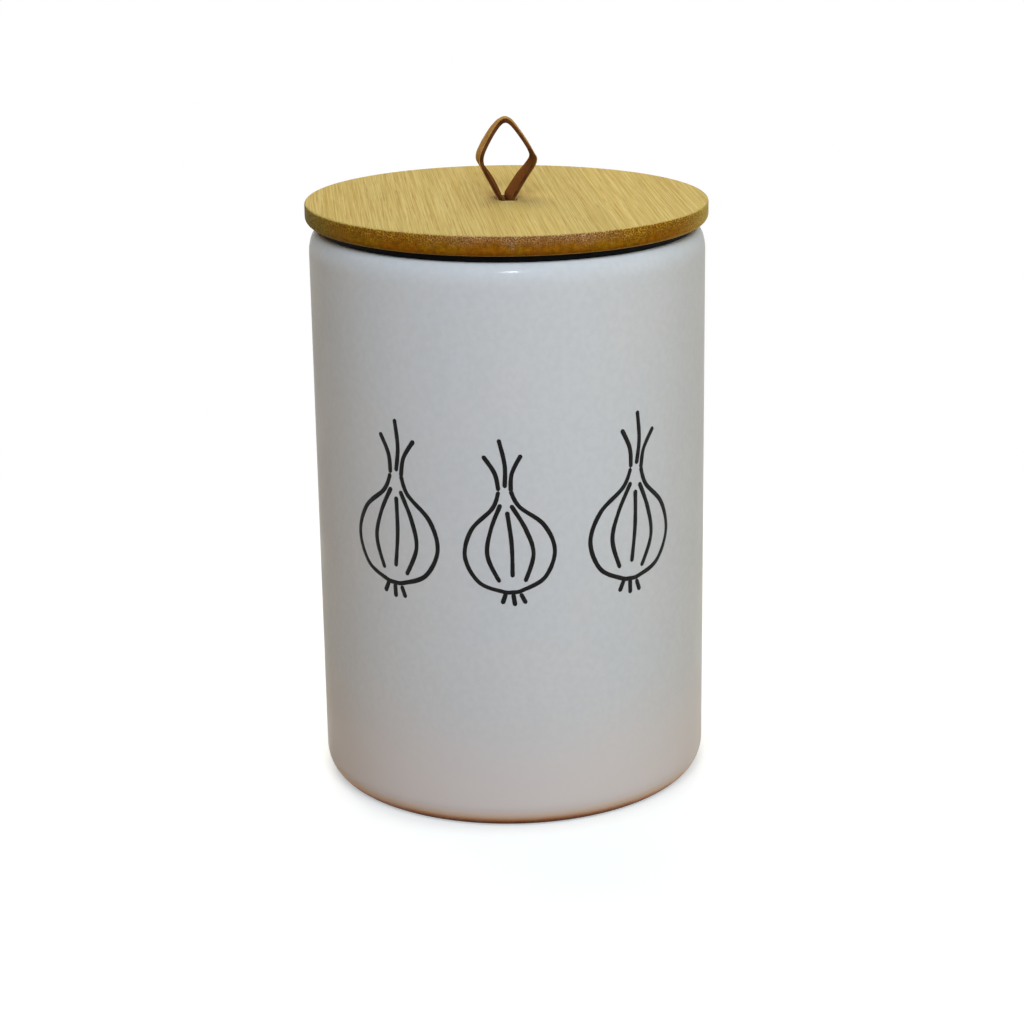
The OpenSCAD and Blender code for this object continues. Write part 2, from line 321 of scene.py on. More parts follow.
def oiled_bamboo():
    """Oiled bamboo strips along Y: long fibres on the faces, dark fibre ends on the rim, with painted shade
    on the rim's lower part and painted light on its right end.
    """
    finish, tree, shader, place = new_finish("oiled_bamboo")
    point = place.outputs["Object"]
    axes = add(tree, "ShaderNodeSeparateXYZ", {0: point})
    facing = add(tree, "ShaderNodeSeparateXYZ", {0: place.outputs["Normal"]})
    across = axes.outputs["X"]
    height = axes.outputs["Z"]

    strip_w = 19 * mm
    strip_joint = 4 * mm
    strip = maths(tree, "FLOOR", maths(tree, "DIVIDE", maths(tree, "ADD", across, strip_joint), strip_w))
    strip_tone = add(tree, "ShaderNodeTexWhiteNoise", {"W": strip}, noise_dimensions="1D").outputs["Value"]
    strip_run = maths(tree, "MULTIPLY", strip_tone, 0.7)
    strip_shift = add(tree, "ShaderNodeCombineXYZ", {1: strip_run, 2: strip_tone}).outputs[0]
    shifted = add(tree, "ShaderNodeVectorMath", {0: point, 1: strip_shift}, operation="ADD").outputs[0]

    fibres = noise(tree, stretched(tree, shifted, 2100.0, 13.0, 2100.0), 1.0, 3.0, 0.6)
    threads = noise(tree, stretched(tree, shifted, 2500.0, 45.0, 2500.0), 1.0, 1.0)
    glints = noise(tree, stretched(tree, shifted, 2300.0, 24.0, 2300.0), 1.7, 1.0)
    bands = noise(tree, stretched(tree, shifted, 150.0, 5.0, 150.0), 1.0, 2.0)
    pale = fade(tree, fibres, 0.3, 0.7)
    wood = mixed(tree, pale, colour(0.480, 0.332, 0.096), colour(0.665, 0.503, 0.180))
    wood = mixed(tree, fade(tree, bands, 0.4, 0.7, 0.0, 0.3), wood, colour(0.54, 0.353, 0.095))
    wood = mixed(tree, fade(tree, threads, 0.60, 0.70, 0.0, 0.5), wood, colour(0.41, 0.195, 0.072))
    wood = mixed(tree, fade(tree, glints, 0.62, 0.74, 0.0, 0.5), wood, colour(0.77, 0.640, 0.31))
    wood = mixed(tree, 1.0, wood, fade(tree, strip_tone, 0.0, 1.0, 0.96, 1.04), "MULTIPLY")

    wander = noise(tree, stretched(tree, shifted, 60.0, 25.0, 60.0), 1.0)
    ends_per_m = 1650.0
    end_x = maths(tree, "MULTIPLY_ADD", across, ends_per_m, maths(tree, "MULTIPLY", wander, 1.2))
    end_z = maths(tree, "MULTIPLY", height, ends_per_m)
    end_spot = add(tree, "ShaderNodeCombineXYZ", {0: end_x, 1: end_z}).outputs[0]
    end_cells = {"Vector": end_spot, "Scale": 1.0, "Randomness": 0.85}
    ends = add(tree, "ShaderNodeTexVoronoi", end_cells, voronoi_dimensions="2D")
    patches = noise(tree, stretched(tree, shifted, 120.0, 0.0, 60.0), 1.0, 2.0)
    uneven = maths(tree, "MULTIPLY_ADD", maths(tree, "SUBTRACT", patches, 0.5), 8 * mm, height)
    # Towards its lower edge the rim turns darker and more saturated: partly denser fibre, partly painted
    # shade of the downward-turning edge
    depth = fade(tree, uneven, board_z + 1.4 * mm, lid_top)
    dot_size = fade(tree, uneven, board_z + 1.0 * mm, lid_top - 0.5 * mm, 0.15, 0.46)
    dots = fade(tree, maths(tree, "SUBTRACT", ends.outputs["Distance"], dot_size), 0.12, -0.12)
    dot_tone = add(tree, "ShaderNodeSeparateColor", {0: ends.outputs["Color"]}).outputs[0]
    dot_brown = mixed(tree, dot_tone, colour(0.070, 0.026, 0.006), colour(0.190, 0.058, 0.012))

    below_top = fade(tree, facing.outputs["Z"], 0.85, 0.35)
    above_underside = fade(tree, facing.outputs["Z"], -0.985, -0.93)
    upright = maths(tree, "MINIMUM", below_top, above_underside)
    end_grain = fade(tree, maths(tree, "ABSOLUTE", facing.outputs["Y"]), 0.2, 0.75)
    olive = fade(tree, noise(tree, stretched(tree, shifted, 70.0, 6.0, 40.0), 1.0, 2.0), 0.4, 0.62)
    outer_strips = fade(tree, maths(tree, "ABSOLUTE", across), 14 * mm, 42 * mm)
    low_rim_fibre_and_shade = mixed(tree, olive, colour(0.266, 0.098, 0.004), colour(0.266, 0.127, 0.004))
    high_rim = mixed(tree, outer_strips, colour(0.510, 0.315, 0.150), colour(0.475, 0.264, 0.020))
    rim = mixed(tree, maths(tree, "MULTIPLY", depth, depth), low_rim_fibre_and_shade, high_rim)
    mottle = noise(tree, stretched(tree, shifted, 620.0, 12.0, 620.0), 1.0, 3.0, 0.6)
    rim = mixed(tree, fade(tree, fibres, 0.3, 0.7, 0.35, 0.0), rim, colour(0.15, 0.055, 0.002))
    rim = mixed(tree, 1.0, rim, fade(tree, mottle, 0.3, 0.7, 0.74, 1.26), "MULTIPLY")
    side = mixed(tree, pale, colour(0.310, 0.225, 0.036), colour(0.570, 0.455, 0.118))
    # Painted light: the side grain turns paler towards the rim's right end and darker towards its left, as
    # if lit from the right
    rightward = fade(tree, across, -80 * mm, 80 * mm)
    painted_right_light = mixed(tree, rightward, colour(0.57, 0.56, 0.48), colour(1.30, 1.33, 1.50))
    side = mixed(tree, 1.0, side, painted_right_light, "MULTIPLY")
    rim = mixed(tree, end_grain, side, rim)
    wood = mixed(tree, upright, wood, rim)
    dot_share = maths(tree, "MULTIPLY", dots, fade(tree, upright, 0.0, 1.0, 0.25, 0.8))
    dot_share = maths(tree, "MULTIPLY", dot_share, fade(tree, end_grain, 0.0, 1.0, 0.25, 1.0))
    wood = mixed(tree, dot_share, wood, dot_brown)
    rough = fade(tree, fibres, 0.3, 0.7, 0.58, 0.46)
    dress(tree, shader, wood, rough, bumped(tree, fibres, 0.15, 0.06 * mm))
    shader.inputs["Specular IOR Level"].default_value = 0.01
    return finish


def black_silicone():
    """Matt black silicone with a faint bloom."""
    finish, tree, shader, place = new_finish("black_silicone")
    point = place.outputs["Object"]
    bloom = fade(tree, noise(tree, point, 130.0, 4.0), 0.4, 0.75)
    black = mixed(tree, bloom, colour(0.004, 0.004, 0.0045), colour(0.009, 0.009, 0.010))
    rough = fade(tree, noise(tree, point, 900.0), 0.3, 0.7, 0.55, 0.7)
    dress(tree, shader, black, rough)
    shader.inputs["Specular IOR Level"].default_value = 0.05
    return finish


def strap_leather():
    """Tan leather: a smooth outer face, a darker inner face with short nap and burnished dark cut edges."""
    finish, tree, shader, place = new_finish("strap_leather")
    point = place.outputs["Object"]
    side = add(tree, "ShaderNodeAttribute", attribute_name="side").outputs["Fac"]
    bend = add(tree, "ShaderNodeAttribute", attribute_name="bend").outputs["Fac"]
    mottle = fade(tree, noise(tree, point, 260.0, 2.0, 0.5), 0.3, 0.7)
    outer = mixed(tree, mottle, colour(0.400, 0.200, 0.053), colour(0.500, 0.272, 0.088))
    outer = mixed(tree, fade(tree, bend, 0.0, 1.0, 0.0, 0.2), outer, colour(0.46, 0.255, 0.085))
    nap = noise(tree, point, 2400.0, 3.0, 0.7)
    inner = mixed(tree, fade(tree, nap, 0.3, 0.7), colour(0.165, 0.052, 0.012), colour(0.254, 0.092, 0.022))
    outside = fade(tree, side, -0.5, 0.5)
    skin = mixed(tree, outside, inner, outer)
    edge = mixed(tree, mottle, colour(0.058, 0.020, 0.007), colour(0.118, 0.043, 0.012))
    cut = maths(tree, "MINIMUM", fade(tree, side, 0.98, 0.45), fade(tree, side, -0.995, -0.9))
    pores = noise(tree, point, 1300.0, 2.0, 0.4)
    rough = fade(tree, side, -0.5, 0.5, 0.95, 0.85)
    grain = mixed(tree, outside, nap, pores)
    dress(tree, shader, mixed(tree, cut, skin, edge), rough, bumped(tree, grain, 0.03, 0.06 * mm))
    shader.inputs["Specular IOR Level"].default_value = 0.01
    return finish


def plated_steel():
    """Zinc-plated steel with a fine uneven lustre."""
    finish, tree, shader, place = new_finish("plated_steel")
    point = place.outputs["Object"]
    tint = fade(tree, noise(tree, point, 500.0, 3.0), 0.3, 0.7)
    zinc = mixed(tree, tint, colour(0.56, 0.57, 0.60), colour(0.68, 0.67, 0.63))
    rough = fade(tree, noise(tree, point, 1500.0, 4.0), 0.3, 0.7, 0.22, 0.4)
    dress(tree, shader, zinc, rough)
    shader.inputs["Metallic"].default_value = 1.0
    return finish


# Helpers for shapes


def arc(centre_r, centre_z, half_r, half_z, first, last, steps=10):
    """Points (r, z) on an arc or a part of an ellipse, angles in degrees."""
    turns = [math.radians(first + (last - first) * i / steps) for i in range(steps + 1)]
    return [(centre_r + half_r * math.cos(a), centre_z + half_z * math.sin(a)) for a in turns]


def steps_between(first, last, count):
    """Points strictly between two points (r, z), for even rows of faces."""
    return [
        tuple(a + (b - a) * i / (count + 1) for a, b in zip(first, last))
        for i in range(1, count + 1)
    ]


def new_piece(name, data):
    """An object in the scene with the given mesh, lamp or camera."""
    piece = bpy.data.objects.new(name, data)
    bpy.context.scene.collection.objects.link(piece)
    return piece


def plain_mesh(piece):
    """The piece with its modifiers made part of its mesh."""
    evaluated = piece.evaluated_get(bpy.context.evaluated_depsgraph_get())
    mesh = bpy.data.meshes.new_from_object(evaluated)
    piece.modifiers.clear()
    piece.data = mesh
    mesh.name = piece.name
    return piece


def new_tree(name, **inputs):
    """A geometry tree with a Geometry input and output, and the named inputs: socket type and default."""
    tree = bpy.data.node_groups.new(name, "GeometryNodeTree")
    tree.interface.new_socket("Geometry", in_out="INPUT", socket_type="NodeSocketGeometry")
    tree.interface.new_socket("Geometry", in_out="OUTPUT", socket_type="NodeSocketGeometry")
    for label, (kind, default) in inputs.items():
        socket = tree.interface.new_socket(label, in_out="INPUT", socket_type="NodeSocket" + kind)
        if default is not None:
            socket.default_value = default
    return tree, tree.nodes.new("NodeGroupInput").outputs


def end_tree(tree, shape, finish):
    """Real faces, smooth, with their finish, as the tree's result."""
    real = add(tree, "GeometryNodeRealizeInstances", {0: shape}).outputs[0]
    smooth = add(tree, "GeometryNodeSetShadeSmooth", {0: real}).outputs[0]
    done = add(tree, "GeometryNodeSetMaterial", {0: smooth, "Material": finish}).outputs[0]
    add(tree, "NodeGroupOutput", {0: done})


def grown(name, host_mesh, tree, **inputs):
    """The plain mesh piece that a tree grows on a host mesh."""
    piece = new_piece(name, host_mesh)
    modifier = piece.modifiers.new(tree.name, "NODES")
    modifier.node_group = tree
    for item in tree.interface.items_tree:
        if item.in_out == "INPUT" and item.name in inputs:
            modifier[item.identifier] = inputs[item.name]
    return plain_mesh(piece)


def turned_tree():
    """Turns a profile, the host's points in their order, about Z. A point's Y is its depth of thread."""
    tree, given = new_tree(
        "turned_shape", Sides=("Int", 96), Pitch=("Float", 0.001), Finish=("Material", None)
    )
    rows = add(tree, "GeometryNodeAttributeDomainSize", {0: given["Geometry"]}).outputs["Point Count"]
    columns = maths(tree, "ADD", given["Sides"], 1)
    grid = add(tree, "GeometryNodeMeshGrid", {0: 1.0, 1: 1.0, 2: columns, 3: rows}).outputs["Mesh"]
    spot = add(tree, "GeometryNodeInputPosition").outputs[0]
    cell = add(tree, "ShaderNodeSeparateXYZ", {0: spot})
    last_row = maths(tree, "SUBTRACT", rows, 1)
    along = maths(tree, "ADD", cell.outputs["Y"], 0.5)
    row = maths(tree, "ROUND", maths(tree, "MULTIPLY", along, last_row))
    wanted = {0: given["Geometry"], 1: spot, 2: row}
    taken = add(tree, "GeometryNodeSampleIndex", wanted, data_type="FLOAT_VECTOR").outputs[0]
    profile = add(tree, "ShaderNodeSeparateXYZ", {0: taken})
    angle = maths(tree, "MULTIPLY", cell.outputs["X"], 2 * math.pi)
    pitches = maths(tree, "DIVIDE", profile.outputs["Z"], given["Pitch"])
    wound = maths(tree, "SUBTRACT", pitches, cell.outputs["X"])
    tooth = maths(tree, "MULTIPLY", maths(tree, "PINGPONG", wound, 0.5), 2.0)
    reach = maths(tree, "MULTIPLY_ADD", tooth, profile.outputs["Y"], profile.outputs["X"])
    x = maths(tree, "MULTIPLY", reach, maths(tree, "COSINE", angle))
    y = maths(tree, "MULTIPLY", reach, maths(tree, "SINE", angle))
    there = add(tree, "ShaderNodeCombineXYZ", {0: x, 1: y, 2: profile.outputs["Z"]}).outputs[0]
    wrapped = add(tree, "GeometryNodeSetPosition", {0: grid, "Position": there}).outputs[0]
    closed = add(tree, "GeometryNodeMergeByDistance", {0: wrapped, "Distance": weld}).outputs[0]
    end_tree(tree, closed, given["Finish"])
    return tree


def turned(name, profile, finish, sides=192):
    """A piece turned from points (r, z) or (r, z, depth of thread) with the outside to their right."""
    points = [(r, depth[0] if depth else 0.0, z) for r, z, *depth in profile]
    host = bpy.data.meshes.new(name)
    host.from_pydata(points, [(i, i + 1) for i in range(len(points) - 1)], [])
    return grown(name, host, turn_profile, Sides=sides, Pitch=thread_pitch, Finish=finish)


def round_rectangle(w, l, r, steps=6):
    """Outline points of a rectangle with round corners, counterclockwise."""
    corners = [(1, 1, 0), (-1, 1, 90), (-1, -1, 180), (1, -1, 270)]
    return [
        spot
        for x, y, first in corners
        for spot in arc(x * (w / 2 - r), y * (l / 2 - r), r, r, first, first + 90, steps)
    ]


def skin_over(made, rings):
    """Faces between rings of points, one after the other, and over the first and the last ring."""
    count = len(rings[0])
    for ring, following in zip(rings, rings[1:]):
        for i in range(count):
            j = (i + 1) % count
            made.faces.new((ring[i], ring[j], following[j], following[i]))
    made.faces.new(list(reversed(rings[0])))
    made.faces.new(rings[-1])


def cut_away(piece, outlines):
    """Cuts the closed shape between outlines, each a height and its points (x, y), out of a piece."""
    cutter_mesh = bmesh.new()
    rings = [[cutter_mesh.verts.new((x, y, z)) for x, y in outline] for z, outline in outlines]
    skin_over(cutter_mesh, rings)
    mesh = bpy.data.meshes.new("cutter")
    cutter_mesh.to_mesh(mesh)
    cutter_mesh.free()
    cutter = new_piece("cutter", mesh)
    boolean = piece.modifiers.new("cut", "BOOLEAN")
    boolean.operation = "DIFFERENCE"
    boolean.solver = "EXACT"
    boolean.object = cutter
    triangles = piece.modifiers.new("even_faces", "TRIANGULATE")
    triangles.ngon_method = "BEAUTY"
    triangles.min_vertices = 5
    finish = piece.data.materials[-1]
    plain_mesh(piece)
    bpy.data.objects.remove(cutter)
    piece.data.materials.clear()
    piece.data.materials.append(finish)
    piece.data.polygons.foreach_set("material_index", [0] * len(piece.data.polygons))


def cut_through(piece, w, l, r, ease, low, high):
    """Cuts an upright round-cornered hole with eased edges from low to high through a piece."""
    steps = 5
    turns = [math.pi / 2 * i / steps for i in range(steps + 1)]
    edge = [(ease * (1 - math.sin(a)), ease * (1 - math.cos(a))) for a in turns]
    levels = [(low - cut_over, ease)]
    levels += [(low + depth, grow) for grow, depth in edge]
    levels += [(high - depth, grow) for grow, depth in reversed(edge)]
    levels += [(high + cut_over, ease)]
    cut_away(piece, [(z, round_rectangle(w + 2 * grow, l + 2 * grow, r + grow)) for z, grow in levels])
    weighted = piece.modifiers.new("flat_faces", "WEIGHTED_NORMAL")
    weighted.weight = 80
    plain_mesh(piece)


def pair_tree():
    """Sets the host shape at both ends of a line along X."""
    tree, given = new_tree("set_in_pairs", Reach=("Float", 0.01), Finish=("Material", None))
    left = add(tree, "ShaderNodeCombineXYZ", {0: maths(tree, "MULTIPLY", given["Reach"], -1.0)}).outputs[0]
    apart = add(tree, "ShaderNodeCombineXYZ", {0: maths(tree, "MULTIPLY", given["Reach"], 2.0)}).outputs[0]
    ends = add(tree, "GeometryNodeMeshLine", {0: 2, 2: left, 3: apart}).outputs[0]
    placed = {"Points": ends, "Instance": given["Geometry"]}
    both = add(tree, "GeometryNodeInstanceOnPoints", placed).outputs[0]
    end_tree(tree, both, given["Finish"])
    return tree


# Pieces


def make_jar():
    """The jar: foot ring, straight wall, rounded shoulder, narrow flat rim and the inside."""
    foot_out_r = jar_r - base_round
    foot_in_r = foot_out_r - foot_w
    land_in_r = bore_r + lip_round
    land_out_r = land_in_r + rim_land
    wall_top = rim_z - shoulder_h
    inner_low = floor_z + inside_round
    profile = [(0, foot_recess)]
    profile += steps_between((0, foot_recess), (foot_in_r - foot_recess, foot_recess), 4)
    profile += [(foot_in_r - foot_recess, foot_recess)]
    profile += [(foot_in_r - foot_edge_round, foot_edge_round / 2), (foot_in_r, 0)]
    profile += steps_between((foot_in_r, 0), (foot_out_r, 0), 2)
    profile += arc(foot_out_r, base_round_h, base_round, base_round_h, -90, 0, 16)
    profile += steps_between((jar_r, base_round_h), (jar_r, wall_top), 22)
    profile += arc(land_out_r, wall_top, jar_r - land_out_r, shoulder_h, 0, 90, 16)
    profile += arc(land_in_r, rim_z - lip_round, lip_round, lip_round, 90, 180, 6)
    profile += steps_between((bore_r, rim_z - lip_round), (bore_r, inner_low), 16)
    profile += arc(bore_r - inside_round, inner_low, inside_round, inside_round, 0, -90, 12)
    profile += steps_between((bore_r - inside_round, floor_z), (0, floor_z), 4)
    profile += [(0, floor_z)]
    piece = turned("jar_body", profile, glaze)
    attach(piece, "jar")
    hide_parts("jar")


def make_board():
    """The lid's board, with rounded edges and the slot for the strap."""
    inner = board_r - board_low_round
    outer = board_r - board_top_round
    support = 0.4 * mm
    profile = [(0, board_z)]
    profile += steps_between((0, board_z), (inner - support, board_z), 3)
    profile += [(inner - support, board_z)]
    profile += arc(inner, board_z + board_low_round, board_low_round, board_low_round, -90, 0, 8)
    profile += steps_between((board_r, board_z + board_low_round), (board_r, lid_top - board_top_round), 2)
    profile += arc(outer, lid_top - board_top_round, board_top_round, board_top_round, 0, 90, 8)
    profile += [(outer - support, lid_top)]
    profile += steps_between((outer - support, lid_top), (0, lid_top), 3)
    profile += [(0, lid_top)]
    piece = turned("lid_board", profile, bamboo)
    cut_through(piece, slot_w, strap_w + 2 * slot_room, slot_round, slot_ease, board_z, lid_top)
    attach(piece, "lid")
    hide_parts("lid_disc")


def make_plug():
    """The block under the board, with the bead that keeps the seal and the window for the strap's ends."""
    groove_r = bead_r - bead_out
    low = plug_low.z
    bead_top = low + bead_h
    ease = 0.3 * mm
    profile = [(0, low)]
    profile += steps_between((0, low), (bead_r - bead_round - ease, low), 1)
    profile += [(bead_r - bead_round - ease, low)]
    profile += arc(bead_r - bead_round, low + bead_round, bead_round, bead_round, -90, 0, 6)
    profile += arc(bead_r - ease, bead_top - ease, ease, ease, 0, 90, 4)
    profile += [(groove_r, bead_top), (groove_r, plug_high.z), (0, plug_high.z)]
    piece = turned("lid_plug_block", profile, bamboo)
    window_w = tails_high.x - tails_low.x + 2 * window_room
    window_l = strap_w + 2 * window_room
    cut_through(piece, window_w, window_l, window_round, window_ease, plug_low.z, plug_high.z)
    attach(piece, "lid")
    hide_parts("lid_plug")


def make_seal():
    """The seal: a flat flange under the board and a collar with soft ribs round the plug."""
    collar_out_r = collar_in_r + collar_t
    rib_r = bore_r - rib_room
    foot = seal_low.z
    rib_step = (rim_z - foot) / (rib_count + 1)
    soft = 0.3 * mm
    section = [(collar_in_r, board_z)]
    section += steps_between((collar_in_r, board_z), (collar_in_r, foot + soft), 3)
    section += arc(collar_in_r + soft, foot + soft, soft, soft, 180, 270, 3)
    section += arc(collar_out_r - soft, foot + soft, soft, soft, -90, 0, 3)
    for i in range(rib_count, 0, -1):
        middle = rim_z - rib_step * i
        section += [(collar_out_r, middle - rib_t / 2)]
        section += arc(rib_r - rib_t / 4, middle, rib_t / 4, rib_t / 4, -90, 90, 6)
        section += [(collar_out_r, middle + rib_t / 2)]
    section += [(collar_out_r, rim_z)]
    edge = seal_edge_round
    section += arc(flange_r - edge, rim_z + edge, edge, edge, -90, 0, 6)
    section += arc(flange_r - edge, board_z - edge, edge, edge, 0, 90, 6)
    section += [(collar_in_r, board_z)]
    piece = turned("seal_gasket", section, silicone)
    piece.data.set_sharp_from_angle(angle=seal_crease)
    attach(piece, "seal")
    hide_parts("seal_ring")


def smooth_line(points, step):
    """Points about a step apart on a smooth curve through the given points."""
    ends = [points[0] * 2 - points[1]] + points + [points[-1] * 2 - points[-2]]
    line = []
    for a, b, c, d in zip(ends, ends[1:], ends[2:], ends[3:]):
        count = max(2, round((c - b).length / step))
        reach = [(q - p).length ** 0.5 for p, q in ((a, b), (b, c), (c, d))]
        start = ((b - a) / reach[0] - (c - a) / (reach[0] + reach[1]) + (c - b) / reach[1]) * reach[1]
        end = ((c - b) / reach[1] - (d - b) / (reach[1] + reach[2]) + (d - c) / reach[2]) * reach[1]
        for i in range(count):
            t = i / count
            line.append(
                b * (2 * t**3 - 3 * t**2 + 1) + start * (t**3 - 2 * t**2 + t)
                + c * (3 * t**2 - 2 * t**3) + end * (t**3 - t**2)
            )
    return line + [points[-1]]


def strap_line():
    """The leather's middle at its near edge, left to right: (x, z, how far right the far edge lies)."""
    tail_x = tails_high.x / mm
    under = (board_z - lid_top) / mm - strap_t / mm / 2
    left_tail = [
        (-tail_x, under), (-tail_x / 2, under), (-4.4, under), (-3.1, under + 0.03),
        (-2.3, under + 0.4), (-1.97, under + 1.3),
    ]
    loop = [
        (-1.95, -4.6, 0), (-1.95, -2.6, 0), (-2.3, -0.8, 0.1), (-3.35, 0.8, 0.7), (-4.45, 2.7, 1.0),
        (-6.25, 6.2, 1.2), (-8.05, 9.7, 0.9), (-9.5, 13.0, 0.1), (-9.8, 14.8, -0.4),
        (-9.4, 17.1, -0.6), (-7.9, 20.4, -0.6), (-6.7, 22.6, -0.5), (-5.4, 24.8, -0.35),
        (-3.9, 27.0, -0.1), (-2.2, 28.9, 0.4), (-0.6, 29.6, 0.8), (0.9, 29.0, 1.0),
        (2.4, 27.5, 1.0), (4.1, 25.3, 0.9), (7.15, 20.8, 0.8), (9.4, 17.0, 0.3),
        (10.15, 15.2, -0.2), (9.7, 13.1, -0.9), (6.55, 8.25, -1.6), (3.25, 2.85, -1.8),
        (2.1, 0.9, -1.8), (1.65, -0.7, -1.25), (1.75, -2.6, -0.35), (1.95, -4.6, 0),
    ]
    tails = [(x, h, 0) for x, h in left_tail]
    points = tails + loop + [(-x, h, 0) for x, h, aside in reversed(tails)]
    line = [Vector((x * mm, lid_top + h * mm, aside * mm)) for x, h, aside in points]
    return smooth_line(line, strap_step)


def eased(share):
    """A smooth step from 0 to 1 while share goes from 0 to 1."""
    share = max(0.0, min(1.0, share))
    return share * share * (3 - 2 * share)


def strap_section():
    """Outline of the strap across its width: (along its width, through its thickness), outer face first."""
    flat = strap_w - 2 * strap_edge_round
    deep = strap_t / 2
    crown = strap_crown
    count = 8
    face = [
        (-flat / 2 + flat * i / count, deep + crown * (1 - (2 * i / count - 1) ** 2) - crown)
        for i in range(count + 1)
    ]
    r = strap_edge_round
    turn = arc(flat / 2, deep - crown - r, r, r, 75, 0, 4)
    half = face + turn
    return half + [(-y, -n) for y, n in half]


def make_strap():
    """The leather strap in one piece: the finger loop and its two ends under the board."""
    line = strap_line()
    section = strap_section()
    made = bmesh.new()
    side_layer = made.verts.layers.float.new("side")
    bend_layer = made.verts.layers.float.new("bend")
    rings = []
    last = len(line) - 1
    for i, point in enumerate(line):
        spot = point.xy
        before = (spot - line[max(i - 1, 0)].xy).normalized() if i else None
        after = (line[min(i + 1, last)].xy - spot).normalized() if i < last else None
        before, after = before or after, after or before
        along = (before + after).normalized()
        outward = Vector((-along.y, along.x))
        bend = min(1.0, before.angle(after) / sharpest_bend)
        tilt = face_tilt * eased((spot.y - lid_top) / face_tilt_h)
        lean = max(0.0, spot.y - lid_top) * math.sin(loop_lean)
        swell = 1 + fold_bulge * bend
        ring = []
        for y, n in section:
            flat = spot + outward * n * swell
            width = y + strap_w / 2
            corner = made.verts.new((
                flat.x + point.z * width / strap_w,
                width * math.cos(tilt) - strap_w / 2 + lean,
                flat.y - width * math.sin(tilt),
            ))
            corner[side_layer] = max(-1.0, min(1.0, n / (strap_t / 2 - cut_edge)))
            corner[bend_layer] = bend
            ring.append(corner)
        rings.append(ring)
    skin_over(made, rings)
    bmesh.ops.recalc_face_normals(made, faces=made.faces)
    mesh = bpy.data.meshes.new("leather_strap")
    made.to_mesh(mesh)
    made.free()
    mesh.materials.append(leather)
    mesh.shade_smooth()
    mesh.set_sharp_from_angle(angle=strap_crease)
    piece = new_piece("leather_strap", mesh)
    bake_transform(piece)
    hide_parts("handle_loop", "strap_tails")


def set_fixings(name, node, single):
    """Sets a single screw or washer at both ends of the strap, in the place of its CAD node."""
    shape = single.data
    bpy.data.objects.remove(single)
    piece = grown(name, shape, set_in_pairs, Reach=screw_x, Finish=steel)
    piece.data.set_sharp_from_angle(angle=steel_crease)
    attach(piece, "lid")
    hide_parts(node)


def make_screws():
    """Two pan-head screws with a cross recess and a cut thread, through the strap's ends into the board."""
    neck = washers_low.z
    head_low = screws_low.z
    thread_top = screws_high.z - screw_point
    profile = arc(0, neck, screw_head_r, neck - head_low, -90, 0, 12)
    profile += [(screw_core_r, neck), (screw_core_r, board_z)]
    for r, z in steps_between((screw_core_r, board_z), (screw_core_r, thread_top), thread_rows):
        run_out = eased((z - board_z) / thread_pitch) * eased((thread_top - z) / thread_pitch)
        profile.append((r, z, thread_depth * run_out))
    profile += [(screw_core_r, thread_top), (0, screws_high.z)]
    screw = turned("screw", profile, steel, sides=36)
    for w, l in ((recess_span, recess_w), (recess_w, recess_span)):
        mouth = round_rectangle(w, l, recess_round)
        bottom = [(x * recess_narrowing, y * recess_narrowing) for x, y in mouth]
        depths = (head_low - cut_over, head_low, head_low + recess_depth)
        cut_away(screw, list(zip(depths, (mouth, mouth, bottom))))
    set_fixings("steel_screws", "strap_screws", screw)


def make_washers():
    """Two plain washers with eased edges under the screw heads."""
    low, high = washers_low.z, washers_high.z
    ease = washer_ease
    section = arc(washer_hole_r + ease, low + ease, ease, ease, 180, 270, 4)
    section += arc(washer_r - ease, low + ease, ease, ease, -90, 0, 4)
    section += arc(washer_r - ease, high - ease, ease, ease, 0, 90, 4)
    section += arc(washer_hole_r + ease, high - ease, ease, ease, 90, 180, 4)
    section += section[:1]
    washer = turned("washer", section, steel, sides=64)
    set_fixings("steel_washers", "strap_washers", washer)


def onion_strokes():
    """One onion as pen strokes, in millimetres: across and up from the middle of its root."""
    bulb = [(-2.2, 40), (-5, 33.5), (-13.6, 25.5), (-17, 15), (-12.6, 5), (-4, 0.8)]
    skin = [(-1.8, 35), (-6.4, 25), (-8.4, 15), (-4.6, 4.4)]
    leaf = [(-2.2, 40), (-3.1, 47), (-7, 54)]
    root = [(-2.6, 0.2), (-4.4, -4.2)]
    halves = [skin, leaf, root]
    strokes = [bulb + [(0, 0.2)] + [(-x, z) for x, z in reversed(bulb)]]
    strokes += halves
    strokes += [[(-x * 1.05, z - 0.6) for x, z in half] for half in halves]
    strokes += [[(0.2, 41), (0.9, 50), (-0.6, 60)]]
    strokes += [[(0, -0.2), (0.4, -5.4)], [(0.3, 32), (1.0, 19), (0.3, 6)]]
    return strokes


